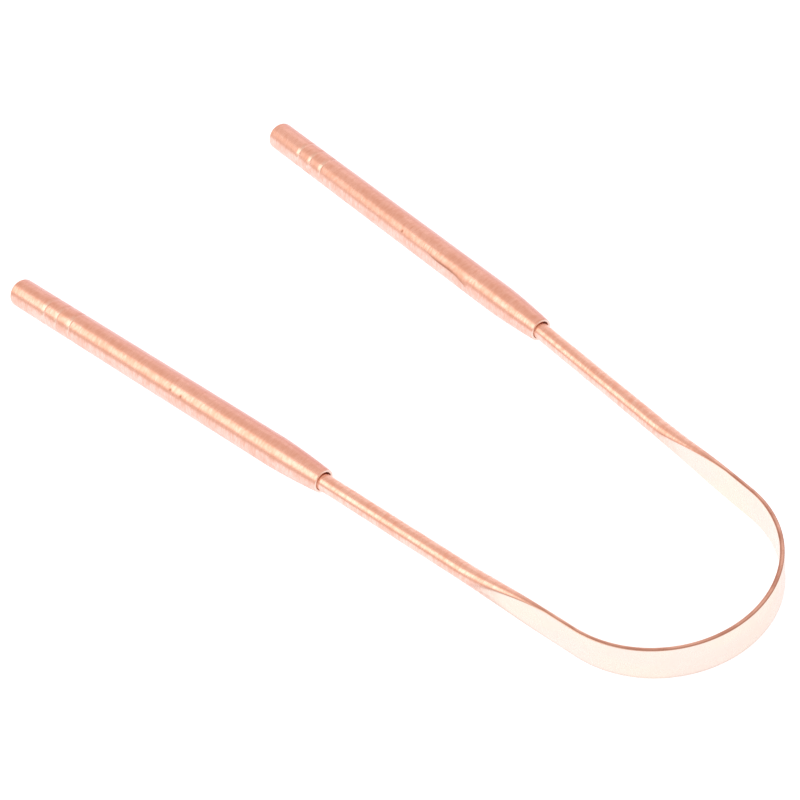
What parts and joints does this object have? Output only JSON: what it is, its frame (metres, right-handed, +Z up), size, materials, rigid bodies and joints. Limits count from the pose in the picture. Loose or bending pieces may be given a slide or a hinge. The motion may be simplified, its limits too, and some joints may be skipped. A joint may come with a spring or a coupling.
{
  "type": "tongue scraper",
  "caption": "Copper tongue scraper: a wire pressed flat into a U-shaped blade, with round legs that run into slim hollow handles, pinched at the mouth and grooved near the closed end.",
  "frame": {"origin": "middle of the footprint, on the surface that the scraper lies on", "axes": "+X from the handles towards the bow, +Y towards the left handle, +Z up, square to the plane of the U"},
  "size_m": [0.1572, 0.0688, 0.0066],
  "materials": {
    "blade_copper": "bright copper, drawn and pressed, lightly polished",
    "handle_copper": "bright copper, brushed around the handle"
  },
  "bodies": {
    "root": {"scraper_blade": "blade_copper", "left_handle": "handle_copper", "right_handle": "handle_copper"}
  },
  "joints": []
}
